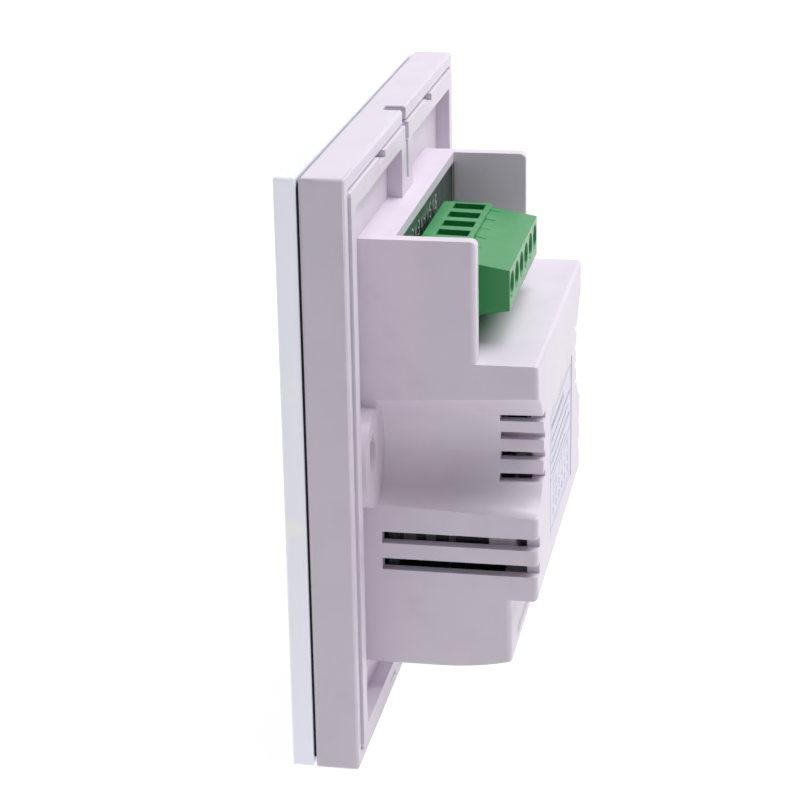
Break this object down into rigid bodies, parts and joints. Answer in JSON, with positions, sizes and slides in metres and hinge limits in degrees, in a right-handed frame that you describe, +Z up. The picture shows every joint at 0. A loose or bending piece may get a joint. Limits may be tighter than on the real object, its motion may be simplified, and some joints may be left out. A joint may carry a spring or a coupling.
{
  "type": "wall thermostat",
  "caption": "Square flush wall thermostat seen with its rear box, plug-in screw terminal, vent slots and ear-mounted fixing holes behind a glass front panel.",
  "frame": {"origin": "midpoint between the two fixing holes, on the wall surface", "axes": "+X right seen from the front, +Y into the wall, +Z up"},
  "size_m": [0.086, 0.0329, 0.086],
  "materials": {
    "glass_front": "white-backed polished glass",
    "tape_black": "black foam tape",
    "abs_white": "fine satin moulding with a faint lilac cast",
    "lcd": "dark polarised display",
    "diffuser": "milky light guide",
    "board": "dark green solder mask",
    "steel": "zinc-plated",
    "brass": "tin-flashed brass",
    "terminal_green": "satin green polyamide",
    "black_plastic": "moulded black",
    "relay_blue": "semi-gloss blue case",
    "winding": "yellow winding tape",
    "can_sleeve": "black shrink sleeve with a grey stripe",
    "film_box": "cream potted box",
    "varistor_blue": "dipped lacquer",
    "ceramic": "ceramic tube",
    "label": "silver-grey printed film"
  },
  "bodies": {
    "back": {"rear_shell": "abs_white", "rear_label": "label", "power_board": "board", "terminal_header": "terminal_green", "header_pins": "brass", "relay": "relay_blue", "transformer": "winding", "capacitors": "can_sleeve", "film_capacitor": "film_box", "varistor": "varistor_blue", "fuse": "ceramic", "daughter_board": "board", "sleeved_leads": "film_box", "ic_chips": "black_plastic", "board_screws": "steel", "link_socket": "black_plastic"},
    "front": {"front_glass": "glass_front", "adhesive_tape": "tape_black", "front_housing": "abs_white", "lcd_panel": "lcd", "backlight": "diffuser", "display_board": "board", "touch_springs": "steel", "microcontroller": "black_plastic", "link_pins": "black_plastic", "buzzer": "black_plastic", "temperature_sensor": "black_plastic", "display_screws": "steel"},
    "plug": {"terminal_plug": "terminal_green", "plug_contacts": "brass"},
    "screw_1": {"terminal_screw_1": "steel"},
    "clamp_1": {"wire_clamp_1": "steel"},
    "screw_2": {"terminal_screw_2": "steel"},
    "clamp_2": {"wire_clamp_2": "steel"},
    "screw_3": {"terminal_screw_3": "steel"},
    "clamp_3": {"wire_clamp_3": "steel"},
    "screw_4": {"terminal_screw_4": "steel"},
    "clamp_4": {"wire_clamp_4": "steel"},
    "screw_5": {"terminal_screw_5": "steel"},
    "clamp_5": {"wire_clamp_5": "steel"},
    "screw_6": {"terminal_screw_6": "steel"},
    "clamp_6": {"wire_clamp_6": "steel"}
  },
  "joints": [
    {"name": "front_pull", "type": "slide", "parent": "back", "child": "front", "axis": [0, -1, 0], "range_m": [0, 0.03]},
    {"name": "plug_pull", "type": "slide", "parent": "back", "child": "plug", "axis": [0, 1, 0], "range_m": [0, 0.02]},
    {"name": "screw_1_turn", "type": "hinge", "parent": "plug", "child": "screw_1", "pos_m": [-0.0096, 0.0146, 0.0214], "axis": [0, -1, 0], "range_deg": [0, 1440]},
    {"name": "clamp_1_close", "type": "slide", "parent": "plug", "child": "clamp_1", "axis": [0, 1, 0], "range_m": [0, 0.002]},
    {"name": "screw_2_turn", "type": "hinge", "parent": "plug", "child": "screw_2", "pos_m": [-0.0046, 0.0146, 0.0214], "axis": [0, -1, 0], "range_deg": [0, 1440]},
    {"name": "clamp_2_close", "type": "slide", "parent": "plug", "child": "clamp_2", "axis": [0, 1, 0], "range_m": [0, 0.002]},
    {"name": "screw_3_turn", "type": "hinge", "parent": "plug", "child": "screw_3", "pos_m": [0.0004, 0.0146, 0.0214], "axis": [0, -1, 0], "range_deg": [0, 1440]},
    {"name": "clamp_3_close", "type": "slide", "parent": "plug", "child": "clamp_3", "axis": [0, 1, 0], "range_m": [0, 0.002]},
    {"name": "screw_4_turn", "type": "hinge", "parent": "plug", "child": "screw_4", "pos_m": [0.0054, 0.0146, 0.0214], "axis": [0, -1, 0], "range_deg": [0, 1440]},
    {"name": "clamp_4_close", "type": "slide", "parent": "plug", "child": "clamp_4", "axis": [0, 1, 0], "range_m": [0, 0.002]},
    {"name": "screw_5_turn", "type": "hinge", "parent": "plug", "child": "screw_5", "pos_m": [0.0104, 0.0146, 0.0214], "axis": [0, -1, 0], "range_deg": [0, 1440]},
    {"name": "clamp_5_close", "type": "slide", "parent": "plug", "child": "clamp_5", "axis": [0, 1, 0], "range_m": [0, 0.002]},
    {"name": "screw_6_turn", "type": "hinge", "parent": "plug", "child": "screw_6", "pos_m": [0.0154, 0.0146, 0.0214], "axis": [0, -1, 0], "range_deg": [0, 1440]},
    {"name": "clamp_6_close", "type": "slide", "parent": "plug", "child": "clamp_6", "axis": [0, 1, 0], "range_m": [0, 0.002]}
  ],
  "couplings": [
    {"joint": "screw_1_turn", "follows": "clamp_1_close", "rad_per_m": 12566},
    {"joint": "screw_2_turn", "follows": "clamp_2_close", "rad_per_m": 12566},
    {"joint": "screw_3_turn", "follows": "clamp_3_close", "rad_per_m": 12566},
    {"joint": "screw_4_turn", "follows": "clamp_4_close", "rad_per_m": 12566},
    {"joint": "screw_5_turn", "follows": "clamp_5_close", "rad_per_m": 12566},
    {"joint": "screw_6_turn", "follows": "clamp_6_close", "rad_per_m": 12566}
  ]
}
